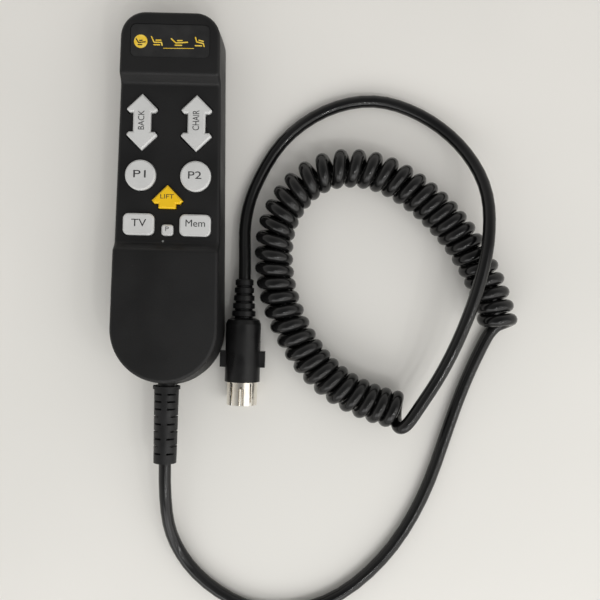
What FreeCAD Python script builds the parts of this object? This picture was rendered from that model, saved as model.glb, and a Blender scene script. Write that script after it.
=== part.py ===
"""Wired hand control for a lift chair: a moulded handset with eight keys, its curly cord and its round plug.

Millimetres.  The handset lies on its back: +Y runs along it towards the badge, +Z comes out of the keys and
the origin is under its middle, on the table.  The cord leaves towards -Y, lies coiled to the right (+X) and
ends in a plug beside the handset.
"""
import FreeCAD, Part
import Sketcher
import math
import os
import re

Vector = FreeCAD.Vector
UP = Vector(0, 0, 1)

doc = FreeCAD.newDocument("hand_control")

# ---------------------------------------------------------------- driving dimensions

DIMENSIONS = {
    # shell outline at the parting line and at the raised face
    "base_end_radius": 23.6, "base_end_y": -55.4, "base_top_y": 79.0, "base_top_half": 21.1,
    "base_corner": 11.0,
    "face_end_radius": 22.6, "face_end_y": -54.1, "face_top_y": 78.2, "face_top_half": 20.8,
    "face_corner": 10.4,
    "back_round": 3.0, "edge_round": 1.5,
    "parting_z": 8.0, "parting_gap": 0.25, "face_z": 24.5, "keypad_z": 20.5, "wall": 2.2, "keypad_wall": 2.0,
    "ramp_upper_y": 52.5, "ramp_lower_y": -21.2, "ramp_run": 3.3, "ramp_round": 1.9,
    "badge_y": 66.1, "badge_length": 33.3, "badge_height": 14.0, "badge_corner": 2.5, "badge_depth": 0.9,
    "badge_plate_thickness": 0.6, "badge_gap": 0.15,
    # keys
    "key_top_z": 22.5, "key_foot_z": 15.1, "key_gap": 0.35, "rocker_gap": 0.45, "key_bevel": 0.6,
    "flange_z": 17.0, "flange_thickness": 1.3, "flange_margin": 1.0,
    "rocker_x": 11.45, "rocker_y": 32.6, "arrow_half": 11.8, "barb_half": 6.3, "barb_y": 5.6,
    "barb_edge": 0.5, "barb_cut": 0.9, "barb_foot_y": 4.1, "shaft_half": 3.65,
    "pivot_z": 17.0, "pivot_radius": 0.8, "pivot_clearance": 0.05, "pivot_half": 6.6, "ear_width": 2.2,
    "ear_half": 2.0,
    "round_x": 11.6, "round_y": 10.3, "round_radius": 6.4,
    "lift_tip_y": 6.3, "lift_barb_y": -0.2, "lift_barb_half": 6.5, "lift_foot_y": -1.5, "lift_stem_half": 3.6,
    "lift_stem_y": -3.5,
    "oblong_x": 11.9, "oblong_y": -10.35, "oblong_half_x": 6.5, "oblong_half_y": 4.55, "oblong_corner": 2.3,
    "small_x": 0.3, "small_y": -12.6, "small_half_x": 2.4, "small_half_y": 2.3, "small_corner": 1.2,
    "light_x": -1.7, "light_y": -17.2, "light_radius": 0.45,
    # board, mat and contacts
    "board_z": 10.4, "board_thickness": 1.6, "board_half": 17.4, "board_low_y": -26.0, "board_high_y": 50.5,
    "mat_thickness": 1.0, "mat_half": 18.0, "mat_low_y": -16.4, "mat_high_y": 44.6, "dome_top_z": 15.0,
    "dome_radius": 2.6, "dome_top_radius": 1.7, "pill_radius": 1.4, "pill_thickness": 0.4,
    "push_travel": 0.8, "dome_arm": 7.4,
    "boss_radius": 2.3, "board_screw_x": 16.2, "board_screw_high_y": 47.6, "board_screw_low_y": -22.8,
    "case_screw_high_x": 14.5, "case_screw_high_y": 61.0, "case_screw_low_x": 14.5, "case_screw_low_y": -50.0,
    "case_boss_radius": 3.1, "screw_radius": 1.4, "screw_pilot": 1.15,
    # cord entry
    "cord_z": 12.0, "cord_radius": 2.7, "neck_radius": 4.0, "neck_gap": 0.15, "collar_radius": 5.9,
    "collar_end_y": -80.4, "boot_end_y": -112.3, "boot_radius": 5.3, "boot_end_radius": 4.95,
    "slot_pitch": 3.2, "slot_width": 0.8, "slot_reach": 4.7, "spine_half": 1.25,
    # plug
    "plug_x": 32.3, "plug_z": 7.7, "relief_top_y": -32.0, "plug_body_y": -49.1, "plug_mouth_y": -76.8,
    "plug_end_y": -86.9, "plug_radius": 7.65, "lug_reach": 9.8, "lug_high_y": -63.5, "lug_low_y": -70.5,
    "lug_half": 2.6, "shell_radius": 6.6, "shell_wall": 0.45, "shell_neck": 6.4,
    "pin_radius": 0.7, "pin_circle": 3.5,
    # curly part of the cord
    "coil_radius": 8.5,
}

sheet = doc.addObject("Spreadsheet::Sheet", "Dimensions")
for row, (alias, size) in enumerate(DIMENSIONS.items(), start=1):
    sheet.set("A%d" % row, alias)
    sheet.set("B%d" % row, "%g" % size)
    sheet.setAlias("B%d" % row, alias)
doc.recompute()

# ---------------------------------------------------------------- how sizes reach the model


def number(expression):
    """The value in millimetres of an expression written with the sheet's aliases."""
    answer = sheet.evalExpression(expression)
    return float(getattr(answer, "Value", answer))


def bound(expression):
    """The same expression as an object outside the sheet has to write it."""
    return re.sub(r"[a-z_][a-z_0-9]*", lambda found: "Dimensions." + found.group(0), expression)


def bind(thing, **sizes):
    """Binds each named property of a document object to an expression."""
    for name, expression in sizes.items():
        thing.setExpression(name.replace("__", "."), bound(expression))
    return thing


# ---------------------------------------------------------------- sketches and features

XY, XZ, YZ = "XY_Plane", "XZ_Plane", "YZ_Plane"


def new_body(label):
    body = doc.addObject("PartDesign::Body", label)
    body.Label = label
    return body


def new_sketch(body, name, plane=XY, offset="0"):
    """A sketch on one of the body's own planes, moved along that plane's normal."""
    made = body.newObject("Sketcher::SketchObject", name)
    support = next(f for f in body.Origin.OriginFeatures if f.Role == plane)
    made.AttachmentSupport = (support, [""])
    made.MapMode = "FlatFace"
    made.setExpression("AttachmentOffset.Base.z", bound(offset))
    return made


def hold(drawing, kind, *references_and_size):
    """A dimensional constraint bound to an expression."""
    *references, expression = references_and_size
    index = drawing.addConstraint(Sketcher.Constraint(kind, *references, number(expression)))
    drawing.setExpression("Constraints[%d]" % index, bound(expression))


def circle(drawing, x, y, radius):
    centre = Vector(number(x), number(y), 0)
    item = drawing.addGeometry(Part.Circle(centre, UP, number(radius)))
    hold(drawing, "DistanceX", -1, 1, item, 3, x)
    hold(drawing, "DistanceY", -1, 1, item, 3, y)
    hold(drawing, "Radius", item, radius)


def polygon(drawing, corners):
    """Closed straight-sided outline: each corner's x and y are held by expressions."""
    places = [Vector(number(x), number(y), 0) for x, y in corners]
    count = len(places)
    sides = [drawing.addGeometry(Part.LineSegment(places[i], places[(i + 1) % count])) for i in range(count)]
    for i, side in enumerate(sides):
        drawing.addConstraint(Sketcher.Constraint("Coincident", side, 2, sides[(i + 1) % count], 1))
        hold(drawing, "DistanceX", -1, 1, side, 1, corners[i][0])
        hold(drawing, "DistanceY", -1, 1, side, 1, corners[i][1])


def rectangle(drawing, x0, y0, x1, y1):
    polygon(drawing, [(x0, y0), (x1, y0), (x1, y1), (x0, y1)])


def rounded_box(drawing, x, y, half_x, half_y, corner):
    """Rectangle about a centre with four rounded corners."""
    cx, cy, hx, hy, r = (number(e) for e in (x, y, half_x, half_y, corner))
    signs = ((1, 1), (-1, 1), (-1, -1), (1, -1))
    arcs = []
    for i, (sx, sy) in enumerate(signs):
        centre = Vector(cx + sx * (hx - r), cy + sy * (hy - r), 0)
        arcs.append(drawing.addGeometry(Part.ArcOfCircle(Part.Circle(centre, UP, r), i * math.pi / 2,
                                                         (i + 1) * math.pi / 2)))
    for i, (sx, sy) in enumerate(signs):
        here, there = drawing.Geometry[arcs[i]], drawing.Geometry[arcs[(i + 1) % 4]]
        side = drawing.addGeometry(Part.LineSegment(here.EndPoint, there.StartPoint))
        drawing.addConstraint(Sketcher.Constraint("Tangent", arcs[i], 2, side, 1))
        drawing.addConstraint(Sketcher.Constraint("Tangent", side, 2, arcs[(i + 1) % 4], 1))
        hold(drawing, "Radius", arcs[i], corner)
        hold(drawing, "DistanceX", -1, 1, arcs[i], 3, "%s + %d * (%s - (%s))" % (x, sx, half_x, corner))
        hold(drawing, "DistanceY", -1, 1, arcs[i], 3, "%s + %d * (%s - (%s))" % (y, sy, half_y, corner))


def shell_outline(drawing, end_radius, end_y, top_y, top_half, corner):
    """Plan of the handset: a round cord end, gently tapering sides and a square top with rounded corners."""
    r_end, y_end, y_top, half, r_corner = (number(e) for e in (end_radius, end_y, top_y, top_half, corner))
    cx, cy = half - r_corner, y_top - r_corner
    tilt = math.asin((r_end - r_corner) / math.hypot(cx, cy - y_end)) - math.atan2(cx, cy - y_end)
    side = Vector(math.cos(tilt), math.sin(tilt), 0)
    low = Vector(0, y_end, 0) + side * r_end
    high = Vector(cx, cy, 0) + side * r_corner

    def arc(x, y, radius, start, end):
        return Part.ArcOfCircle(Part.Circle(Vector(x, y, 0), UP, radius), start, end)

    def mirrored(point):
        return Vector(-point.x, point.y, 0)

    items = [drawing.addGeometry(piece) for piece in (
        arc(0, y_end, r_end, math.pi - tilt, 2 * math.pi + tilt),
        Part.LineSegment(low, high),
        arc(cx, cy, r_corner, tilt, math.pi / 2),
        Part.LineSegment(Vector(cx, y_top, 0), Vector(-cx, y_top, 0)),
        arc(-cx, cy, r_corner, math.pi / 2, math.pi - tilt),
        Part.LineSegment(mirrored(high), mirrored(low)),
    )]
    for i, item in enumerate(items):
        drawing.addConstraint(Sketcher.Constraint("Tangent", item, 2, items[(i + 1) % 6], 1))
    end, _, right, top, left, _ = items
    drawing.addConstraint(Sketcher.Constraint("PointOnObject", end, 3, -2))
    drawing.addConstraint(Sketcher.Constraint("Horizontal", top))
    hold(drawing, "DistanceY", -1, 1, end, 3, end_y)
    hold(drawing, "Radius", end, end_radius)
    hold(drawing, "DistanceY", -1, 1, top, 1, top_y)
    for item, x in ((right, "(%s) - (%s)" % (top_half, corner)), (left, "(%s) - (%s)" % (corner, top_half))):
        hold(drawing, "Radius", item, corner)
        hold(drawing, "DistanceX", -1, 1, item, 3, x)


def pad(body, drawing, length, reverse=False, both_ways=False):
    made = body.newObject("PartDesign::Pad", "pad_" + drawing.Name)
    made.Profile = drawing
    made.Reversed = reverse
    made.Midplane = both_ways
    return bind(made, Length=length)


def pocket(body, drawing, length, reverse=False, both_ways=False):
    """A pocket that has to take something away: a wrong direction would cut nothing and say nothing."""
    doc.recompute()
    before = body.Shape.Volume
    made = body.newObject("PartDesign::Pocket", "pocket_" + drawing.Name)
    made.Profile = drawing
    made.Reversed = reverse
    made.Midplane = both_ways
    bind(made, Length=length)
    doc.recompute()
    if body.Shape.Volume > before - 1e-3:
        raise SystemExit("%s: pocket %s cuts nothing" % (body.Label, drawing.Name))
    return made


def revolve(body, drawing, axis):
    made = body.newObject("PartDesign::Revolution", "revolve_" + drawing.Name)
    made.Profile = drawing
    made.ReferenceAxis = (drawing, [axis])
    made.Angle = 360
    return made


def loft(body, kind, low, high):
    made = body.newObject("PartDesign::" + kind, "loft_" + low.Name)
    made.Profile = low
    made.Sections = [high]
    made.Ruled = True
    doc.recompute()
    return made


def edges(feature, wanted):
    """The names of a feature's edges for which wanted(edge) holds."""
    return ["Edge%d" % i for i, edge in enumerate(feature.Shape.Edges, start=1) if wanted(edge)]


def dress(body, kind, wanted, size):
    """A fillet or chamfer on the edges of the body's last feature that wanted picks."""
    doc.recompute()
    base = body.Tip
    made = body.newObject("PartDesign::" + kind, kind.lower() + "_" + base.Name)
    made.Base = (base, edges(base, wanted))
    bind(made, **{("Radius" if kind == "Fillet" else "Size"): size})
    doc.recompute()
    return made


def at_height(z):
    """Picks edges that lie wholly at one height."""
    return lambda edge: all(abs(v.Z - z) < 1e-4 for v in edge.Vertexes)


# ---------------------------------------------------------------- primitives for small hardware


def cylinder(name, radius, height, x="0", y="0", z="0", axis=UP):
    made = doc.addObject("Part::Cylinder", name)
    made.Placement.Rotation = FreeCAD.Rotation(UP, axis)
    return bind(made, Radius=radius, Height=height,
                Placement__Base__x=x, Placement__Base__y=y, Placement__Base__z=z)


def block(name, x0, y0, z0, x1, y1, z1):
    made = doc.addObject("Part::Box", name)
    return bind(made, Length="%s - (%s)" % (x1, x0), Width="%s - (%s)" % (y1, y0),
                Height="%s - (%s)" % (z1, z0),
                Placement__Base__x=x0, Placement__Base__y=y0, Placement__Base__z=z0)


def fuse(name, pieces):
    made = doc.addObject("Part::MultiFuse", name)
    made.Shapes = pieces
    return made


def cut(name, base, tool):
    made = doc.addObject("Part::Cut", name)
    made.Base = base
    made.Tool = tool
    return made


def group(label, pieces):
    """Several separate solids that share one node."""
    made = doc.addObject("Part::Compound", label)
    made.Label = label
    made.Links = pieces
    return made


PARTS = []


def part(thing):
    """Marks a document object as one of the sub-parts that are written out."""
    PARTS.append(thing)
    return thing


# ---------------------------------------------------------------- the keys' plans


def arrow_pair(grow="0"):
    """Double-headed arrow about the origin, grown outwards by a margin for its opening."""
    quadrant = [
        ("0", "arrow_half + %s" % grow),
        ("barb_half + %s" % grow, "barb_y + %s" % grow),
        ("barb_half + %s" % grow, "barb_y - barb_edge"),
        ("barb_half - barb_cut + %s" % grow, "barb_foot_y - %s" % grow),
        ("shaft_half + %s" % grow, "barb_foot_y - %s" % grow),
    ]
    right = quadrant + [(x, "-(%s)" % y) for x, y in reversed(quadrant)]
    left = [("-(%s)" % x, y) for x, y in reversed(right[1:-1])]
    return right + left


def lift_arrow(grow="0"):
    """Single arrow that points up, about the handset's axis."""
    right = [
        ("0", "lift_tip_y + %s" % grow),
        ("lift_barb_half + %s" % grow, "lift_barb_y + %s / 2" % grow),
        ("lift_barb_half - 1.1 + %s" % grow, "lift_foot_y - %s" % grow),
        ("lift_stem_half + %s" % grow, "lift_foot_y - %s" % grow),
        ("lift_stem_half + %s" % grow, "lift_stem_y - %s" % grow),
    ]
    return right + [("-(%s)" % x, y) for x, y in reversed(right[1:])]


def moved(corners, x, y):
    return [("%s + %s" % (x, cx), "%s + %s" % (y, cy)) for cx, cy in corners]


SIDES = {"back": "-rocker_x", "chair": "rocker_x"}
ROUND_KEYS = {"key_preset_1": "-round_x", "key_preset_2": "round_x"}
OBLONG_KEYS = {
    "key_tv": ("-oblong_x", "oblong_y", "oblong_half_x", "oblong_half_y", "oblong_corner"),
    "key_memory": ("oblong_x", "oblong_y", "oblong_half_x", "oblong_half_y", "oblong_corner"),
    "key_program": ("small_x", "small_y", "small_half_x", "small_half_y", "small_corner"),
}
BOARD_SCREWS = [(x, y) for y in ("board_screw_high_y", "board_screw_low_y")
                for x in ("-board_screw_x", "board_screw_x")]
CASE_SCREWS = [("-case_screw_high_x", "case_screw_high_y"), ("case_screw_high_x", "case_screw_high_y"),
               ("-case_screw_low_x", "case_screw_low_y"), ("case_screw_low_x", "case_screw_low_y")]

# ---------------------------------------------------------------- front shell


def front_shell():
    body = new_body("front_shell")
    base = new_sketch(body, "front_base", offset="parting_z + parting_gap / 2")
    shell_outline(base, "base_end_radius", "base_end_y", "base_top_y", "base_top_half", "base_corner")
    face = new_sketch(body, "front_face", offset="face_z")
    shell_outline(face, "face_end_radius", "face_end_y", "face_top_y", "face_top_half", "face_corner")
    loft(body, "AdditiveLoft", base, face)

    # the keypad is a saddle between two ramps
    saddle = new_sketch(body, "saddle", plane=YZ)
    polygon(saddle, [
        ("ramp_lower_y - ramp_run", "face_z + ramp_run"), ("ramp_lower_y", "face_z"),
        ("ramp_lower_y + ramp_run", "keypad_z"), ("ramp_upper_y - ramp_run", "keypad_z"),
        ("ramp_upper_y", "face_z"), ("ramp_upper_y + ramp_run", "face_z + ramp_run"),
    ])
    pocket(body, saddle, "4 * base_end_radius", both_ways=True)

    def across(edge):
        first, last = edge.Vertexes[0].Point, edge.Vertexes[-1].Point
        middle = edge.valueAt((edge.FirstParameter + edge.LastParameter) / 2)
        return (middle - first).cross(last - first).Length < 0.01 and first.x * last.x < 0 \
            and first.z > number("keypad_z") - 0.1 and abs(first.y) < 60
    dress(body, "Fillet", across, "ramp_round")

    def rim(edge):
        low = number("keypad_z") - 0.1
        around = [v.Point for v in edge.Vertexes]
        middle = edge.valueAt((edge.FirstParameter + edge.LastParameter) / 2)
        return all(p.z > low for p in around) and not (around[0].x * around[-1].x < 0 and abs(middle.y) < 60)
    dress(body, "Fillet", rim, "edge_round")

    # hollow: one space under the keypad, and deeper ones under the raised ends
    inner = new_sketch(body, "front_inner_base", offset="parting_z")
    shell_outline(inner, "base_end_radius - wall", "base_end_y", "base_top_y - wall", "base_top_half - wall",
                  "base_corner - wall")
    ceiling = new_sketch(body, "front_inner_ceiling", offset="keypad_z - keypad_wall")
    shell_outline(ceiling, "face_end_radius - wall", "face_end_y", "face_top_y - wall",
                  "face_top_half - wall", "face_corner - wall")
    loft(body, "SubtractiveLoft", inner, ceiling)
    under_palm = new_sketch(body, "under_palm", offset="keypad_z - keypad_wall - 0.5")
    shell_outline(under_palm, "face_end_radius - 5", "face_end_y", "ramp_lower_y - wall",
                  "face_end_radius - 5.2", "4")
    pocket(body, under_palm, "face_z - keypad_z + 0.3", reverse=True)
    under_badge = new_sketch(body, "under_badge", offset="keypad_z - keypad_wall - 0.5")
    rectangle(under_badge, "-(badge_length / 2)", "ramp_upper_y + 1", "badge_length / 2",
              "face_top_y - 2.5 * wall")
    pocket(body, under_badge, "face_z - keypad_z + 0.3", reverse=True)

    # seat for the badge plate
    seat = new_sketch(body, "badge_seat", offset="face_z")
    rounded_box(seat, "0", "badge_y", "badge_length / 2", "badge_height / 2", "badge_corner")
    pocket(body, seat, "badge_depth")

    # bosses for the board screws and the case screws, and ears that hold each rocker's pin
    for i, (x, y) in enumerate(BOARD_SCREWS):
        boss = new_sketch(body, "board_boss_%d" % i, offset="board_z + board_thickness")
        circle(boss, x, y, "boss_radius")
        pad(body, boss, "keypad_z - keypad_wall / 2 - board_z - board_thickness")
    for i, (x, y) in enumerate(CASE_SCREWS):
        boss = new_sketch(body, "case_boss_%d" % i, offset="parting_z + 1.2")
        circle(boss, x, y, "case_boss_radius")
        pad(body, boss, "face_z - wall - parting_z")
    for name, x in SIDES.items():
        for side, sign in (("inner", "-1"), ("outer", "1")):
            ear = new_sketch(body, "ear_%s_%s" % (name, side), offset="pivot_z - 2.2")
            near = "%s + %s * (shaft_half + rocker_gap + 0.1)" % (x, sign)
            far = "%s + %s * (shaft_half + rocker_gap + 0.1 + ear_width)" % (x, sign)
            rectangle(ear, near, "rocker_y - ear_half", far, "rocker_y + ear_half")
            pad(body, ear, "keypad_z - keypad_wall / 2 - pivot_z + 2.2")
    doc.recompute()
    return body


def front_shell_openings(body):
    """Key openings, pilot holes, pin holes and the slot that the cord's boot drops into."""
    above = "keypad_z + 0.5"
    deep = "keypad_wall + 1"
    for name, x in SIDES.items():
        gap = new_sketch(body, "opening_" + name, offset=above)
        polygon(gap, moved(arrow_pair("rocker_gap"), x, "rocker_y"))
        pocket(body, gap, deep)
    for name, x in ROUND_KEYS.items():
        gap = new_sketch(body, "opening_" + name, offset=above)
        circle(gap, x, "round_y", "round_radius + key_gap")
        pocket(body, gap, deep)
    gap = new_sketch(body, "opening_key_lift", offset=above)
    polygon(gap, lift_arrow("key_gap"))
    pocket(body, gap, deep)
    for name, (x, y, half_x, half_y, corner) in OBLONG_KEYS.items():
        gap = new_sketch(body, "opening_" + name, offset=above)
        rounded_box(gap, x, y, half_x + " + key_gap", half_y + " + key_gap", corner + " + key_gap")
        pocket(body, gap, deep)
    gap = new_sketch(body, "opening_light", offset=above)
    circle(gap, "light_x", "light_y", "light_radius + 0.05")
    pocket(body, gap, deep)
    holes = new_sketch(body, "board_pilots", offset="board_z + board_thickness")
    for x, y in BOARD_SCREWS:
        circle(holes, x, y, "screw_pilot")
    pocket(body, holes, "5.5", reverse=True)
    holes = new_sketch(body, "case_pilots", offset="parting_z + 1.2")
    for x, y in CASE_SCREWS:
        circle(holes, x, y, "screw_pilot")
    pocket(body, holes, "9", reverse=True)
    pins = new_sketch(body, "pin_holes", plane=YZ)
    circle(pins, "rocker_y", "pivot_z", "pivot_radius")
    pocket(body, pins, "2 * (rocker_x + pivot_half)", both_ways=True)
    slot = new_sketch(body, "boot_slot", plane=XZ, offset="-(base_end_y - base_end_radius) - 8")
    circle(slot, "0", "cord_z", "neck_radius")
    pocket(body, slot, "12", reverse=True)
    slot = new_sketch(body, "boot_slot_foot", plane=XZ, offset="-(base_end_y - base_end_radius) - 8")
    rectangle(slot, "-neck_radius", "parting_z - 1", "neck_radius", "cord_z")
    pocket(body, slot, "12", reverse=True)
    return part(body)


front_shell_openings(front_shell())
# ---------------------------------------------------------------- rear shell and cord clamp


def rear_shell():
    """Shallow tray with pillars for the case screws, posts under the board and a saddle for the cord."""
    body = new_body("rear_shell")
    back = new_sketch(body, "rear_plan")
    shell_outline(back, "base_end_radius", "base_end_y", "base_top_y", "base_top_half", "base_corner")
    pad(body, back, "parting_z - parting_gap / 2")
    dress(body, "Fillet", at_height(0), "back_round")
    floor = new_sketch(body, "rear_floor", offset="parting_z")
    shell_outline(floor, "base_end_radius - wall", "base_end_y", "base_top_y - wall", "base_top_half - wall",
                  "base_corner - wall")
    pocket(body, floor, "parting_z - wall")
    for i, (x, y) in enumerate(CASE_SCREWS):
        pillar = new_sketch(body, "pillar_%d" % i, offset="wall / 2")
        circle(pillar, x, y, "case_boss_radius + 0.6")
        pad(body, pillar, "parting_z + 1 - wall / 2")
    saddle = new_sketch(body, "cord_saddle", offset="wall / 2")
    rectangle(saddle, "-9.5", "-70", "9.5", "-63")
    pad(body, saddle, "cord_z - 0.4 - wall / 2")
    doc.recompute()
    groove = new_sketch(body, "cord_groove", plane=XZ, offset="60")
    circle(groove, "0", "cord_z", "cord_radius + 0.05")
    pocket(body, groove, "12", reverse=True)
    heads = new_sketch(body, "screw_heads")
    for x, y in CASE_SCREWS:
        circle(heads, x, y, "screw_radius + 1.8")
    pocket(body, heads, "3.2", reverse=True)
    shanks = new_sketch(body, "screw_shanks")
    for x, y in CASE_SCREWS:
        circle(shanks, x, y, "screw_radius + 0.2")
    pocket(body, shanks, "parting_z + 2", reverse=True)
    pilots = new_sketch(body, "clamp_pilots", offset="cord_z - 0.4")
    for x in ("-6.5", "6.5"):
        circle(pilots, x, "-66.5", "screw_pilot")
    pocket(body, pilots, "8")
    return part(body)


def cable_clamp():
    body = new_body("cable_clamp")
    plan = new_sketch(body, "clamp_plan", offset="cord_z - 0.2")
    rounded_box(plan, "0", "-66.5", "9.2", "2.6", "1")
    pad(body, plan, "4.4")
    doc.recompute()
    groove = new_sketch(body, "clamp_groove", plane=XZ, offset="60")
    circle(groove, "0", "cord_z", "cord_radius")
    pocket(body, groove, "12", reverse=True)
    holes = new_sketch(body, "clamp_holes", offset="cord_z + 5")
    for x in ("-6.5", "6.5"):
        circle(holes, x, "-66.5", "screw_radius + 0.1")
    pocket(body, holes, "6")
    return part(body)


rear_shell()
cable_clamp()

# ---------------------------------------------------------------- screws


def screw(name, x, y, head_z, length, upwards):
    """Pan-head screw with a cross recess: the head sits at head_z and the shank runs as upwards says."""
    sign = "1" if upwards else "-1"
    axis = UP if upwards else -UP
    head = cylinder(name + "_head", "screw_radius + 1.2", "1.8", x, y, "%s - %s * 1.8" % (head_z, sign), axis)
    shank = cylinder(name + "_shank", "screw_radius - 0.3", length, x, y,
                     "%s - %s * 0.1" % (head_z, sign), axis)
    whole = fuse(name + "_whole", [head, shank])
    outer = "%s - %s * 1.8" % (head_z, sign)
    below, above = ("0.1", "0.9") if upwards else ("0.9", "0.1")
    low, high = "%s - %s" % (outer, below), "%s + %s" % (outer, above)
    bars = [block(name + "_bar_%d" % i, "%s - %s" % (x, a), "%s - %s" % (y, b), low,
                  "%s + %s" % (x, a), "%s + %s" % (y, b), high)
            for i, (a, b) in enumerate((("1.6", "0.3"), ("0.3", "1.6")))]
    return cut(name, whole, fuse(name + "_cross", bars))


part(group("case_screws", [screw("case_screw_%d" % i, x, y, "3.2", "10.5", True)
                           for i, (x, y) in enumerate(CASE_SCREWS)]))
part(group("board_screws", [screw("board_screw_%d" % i, x, y, "board_z", "6.5", True)
                            for i, (x, y) in enumerate(BOARD_SCREWS)]))
part(group("clamp_screws", [screw("clamp_screw_%d" % i, x, "-66.5", "cord_z + 4.2", "9", False)
                            for i, x in enumerate(("-6.5", "6.5"))]))

# ---------------------------------------------------------------- keys

DOMES = []


def dome_at(x, y):
    DOMES.append((x, y))


def rocker(name, x):
    """Double-headed arrow that rocks about a steel pin under its shaft."""
    body = new_body("key_" + name)
    plan = new_sketch(body, "plan_" + name, offset="key_foot_z + 0.9")
    polygon(plan, moved(arrow_pair(), x, "rocker_y"))
    pad(body, plan, "key_top_z - key_foot_z - 0.9")
    dress(body, "Chamfer", at_height(number("key_top_z")), "key_bevel")
    feet = new_sketch(body, "feet_" + name, offset="key_foot_z")
    for sign in ("-1", "1"):
        circle(feet, x, "rocker_y + %s * dome_arm" % sign, "dome_top_radius")
    pad(body, feet, "2")
    doc.recompute()
    waist = new_sketch(body, "waist_" + name, plane=YZ, offset=x)
    circle(waist, "rocker_y", "pivot_z", "pivot_radius + pivot_clearance")
    pocket(body, waist, "4 * shaft_half", both_ways=True)
    for sign in ("-1", "1"):
        dome_at(x, "rocker_y + %s * dome_arm" % sign)
    return part(body)


def push_key(label, x, y, draw):
    """Key cap with a flange that keeps it in the shell and a stem that stands on its dome."""
    body = new_body(label)
    cap = new_sketch(body, "cap_" + label, offset="flange_z")
    draw(cap, "0")
    pad(body, cap, "key_top_z - flange_z")
    dress(body, "Chamfer", at_height(number("key_top_z")), "key_bevel")
    flange = new_sketch(body, "flange_" + label, offset="flange_z")
    draw(flange, "flange_margin")
    pad(body, flange, "flange_thickness")
    stem = new_sketch(body, "stem_" + label, offset="key_foot_z")
    circle(stem, x, y, "dome_top_radius")
    pad(body, stem, "flange_z + 0.5 - key_foot_z")
    doc.recompute()
    dome_at(x, y)
    return part(body)


for side_name, side_x in SIDES.items():
    rocker(side_name, side_x)
for key_name, key_x in ROUND_KEYS.items():
    push_key(key_name, key_x, "round_y",
             lambda drawing, grow, x=key_x: circle(drawing, x, "round_y", "round_radius + %s" % grow))
push_key("key_lift", "0", "0", lambda drawing, grow: polygon(drawing, lift_arrow(grow)))
for key_name, (key_x, key_y, half_x, half_y, corner) in OBLONG_KEYS.items():
    push_key(key_name, key_x, key_y,
             lambda drawing, grow, box=(key_x, key_y, half_x, half_y, corner): rounded_box(
                 drawing, box[0], box[1], "%s + %s" % (box[2], grow), "%s + %s" % (box[3], grow), box[4]))

for side_name, side_x in SIDES.items():
    pin = cylinder("rocker_pin_" + side_name, "pivot_radius", "2 * pivot_half", "%s - pivot_half" % side_x,
                   "rocker_y", "pivot_z", Vector(1, 0, 0))
    pin.Label = "rocker_pin_" + side_name
    part(pin)

# ---------------------------------------------------------------- circuit board, mat and carbon pills


def board():
    body = new_body("circuit_board")
    plan = new_sketch(body, "board_plan", offset="board_z")
    rounded_box(plan, "0", "(board_low_y + board_high_y) / 2", "board_half + 1.4",
                "(board_high_y - board_low_y) / 2", "2")
    pad(body, plan, "board_thickness")
    doc.recompute()
    holes = new_sketch(body, "board_holes", offset="board_z + board_thickness + 1")
    for x, y in BOARD_SCREWS:
        circle(holes, x, y, "screw_radius + 0.1")
    pocket(body, holes, "board_thickness + 2")
    return part(body)


def dome_mat():
    """Silicone sheet with a hollow dome under every key's foot."""
    body = new_body("dome_mat")
    plan = new_sketch(body, "mat_plan", offset="board_z + board_thickness")
    rounded_box(plan, "0", "(mat_low_y + mat_high_y) / 2", "mat_half", "(mat_high_y - mat_low_y) / 2", "2")
    pad(body, plan, "mat_thickness")
    for i, (x, y) in enumerate(DOMES):
        foot = new_sketch(body, "dome_foot_%d" % i, offset="board_z + board_thickness + mat_thickness / 2")
        circle(foot, x, y, "dome_radius")
        crown = new_sketch(body, "dome_crown_%d" % i, offset="dome_top_z")
        circle(crown, x, y, "dome_top_radius")
        loft(body, "AdditiveLoft", foot, crown)
    hollow = new_sketch(body, "dome_hollows", offset="board_z + board_thickness")
    for x, y in DOMES:
        circle(hollow, x, y, "pill_radius + 0.25")
    pocket(body, hollow, "dome_top_z - board_z - board_thickness - 1", reverse=True)
    return part(body)


board()
dome_mat()
for side_name, side_x in SIDES.items():
    pills = [cylinder("pill_%s_%d" % (side_name, i), "pill_radius", "pill_thickness", side_x,
                      "rocker_y + %d * dome_arm" % sign, "board_z + board_thickness + 0.75")
             for i, sign in enumerate((-1, 1))]
    part(group("pills_" + side_name, pills))
PILLS = {key_name: (key_x, "round_y") for key_name, key_x in ROUND_KEYS.items()}
PILLS["key_lift"] = ("0", "0")
for key_name, box in OBLONG_KEYS.items():
    PILLS[key_name] = box[:2]
for key_name, (pill_x, pill_y) in PILLS.items():
    label = key_name.replace("key", "pill")
    pill = cylinder(label, "pill_radius", "pill_thickness", pill_x, pill_y,
                    "board_z + board_thickness + push_travel + 0.05")
    pill.Label = label
    part(pill)

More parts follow.
